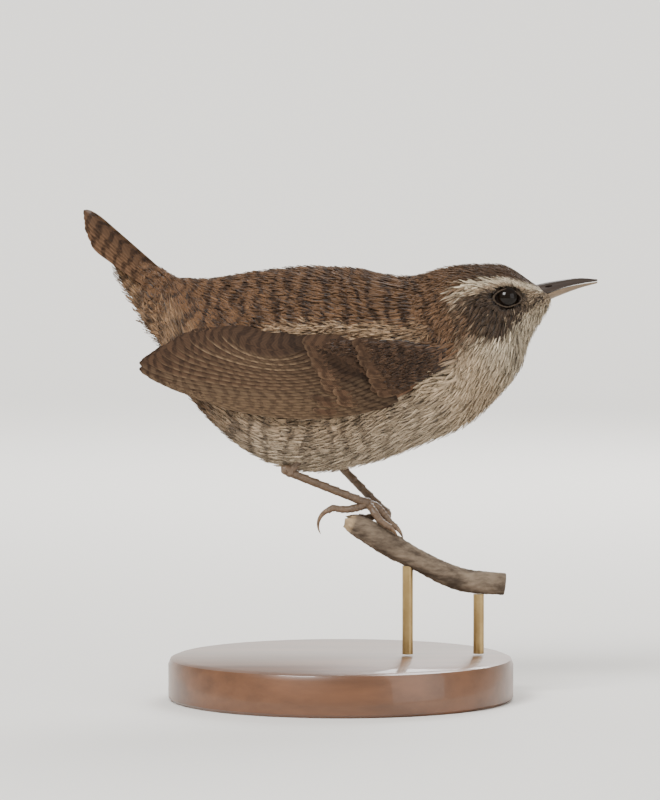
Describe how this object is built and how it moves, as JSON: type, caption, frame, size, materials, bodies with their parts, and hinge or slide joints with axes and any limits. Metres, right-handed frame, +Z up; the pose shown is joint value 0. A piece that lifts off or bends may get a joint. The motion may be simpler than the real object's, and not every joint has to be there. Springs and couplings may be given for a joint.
{
  "type": "wren, life-size museum model on a display stand",
  "caption": "Life-size wren with cocked tail and drooped wings, gripping a short length of twig that two thin pins hold above a round wooden base.",
  "frame": {"origin": "centre of the base's underside, below the middle of the bird's length", "axes": "+X along the bird from its tail to its bill, +Y to the bird's left, +Z up from the surface it stands on"},
  "size_m": [0.0951, 0.064, 0.0907],
  "materials": {
    "plumage": "matte",
    "wing_feathers": "matte",
    "tail_feathers": "matte",
    "bill": "satin",
    "eye": "gloss",
    "leg": "satin",
    "claw": "satin",
    "bark": "rough",
    "stand_wood": "satin",
    "stand_metal": "satin"
  },
  "bodies": {
    "root": {"head": "plumage", "neck": "plumage", "torso": "plumage", "tail": "tail_feathers", "bill_upper": "bill", "bill_lower": "bill", "eye_right": "eye", "eye_left": "eye", "wing_right": "wing_feathers", "wing_left": "wing_feathers", "leg_right": "leg", "leg_left": "leg", "foot_right": "leg", "foot_left": "leg", "claw_right_hind": "claw", "claw_right_inner": "claw", "claw_right_middle": "claw", "claw_right_outer": "claw", "claw_left_hind": "claw", "claw_left_inner": "claw", "claw_left_middle": "claw", "claw_left_outer": "claw", "perch": "bark", "stand_base": "stand_wood", "stand_pin_front": "stand_metal", "stand_pin_rear": "stand_metal"}
  },
  "joints": []
}
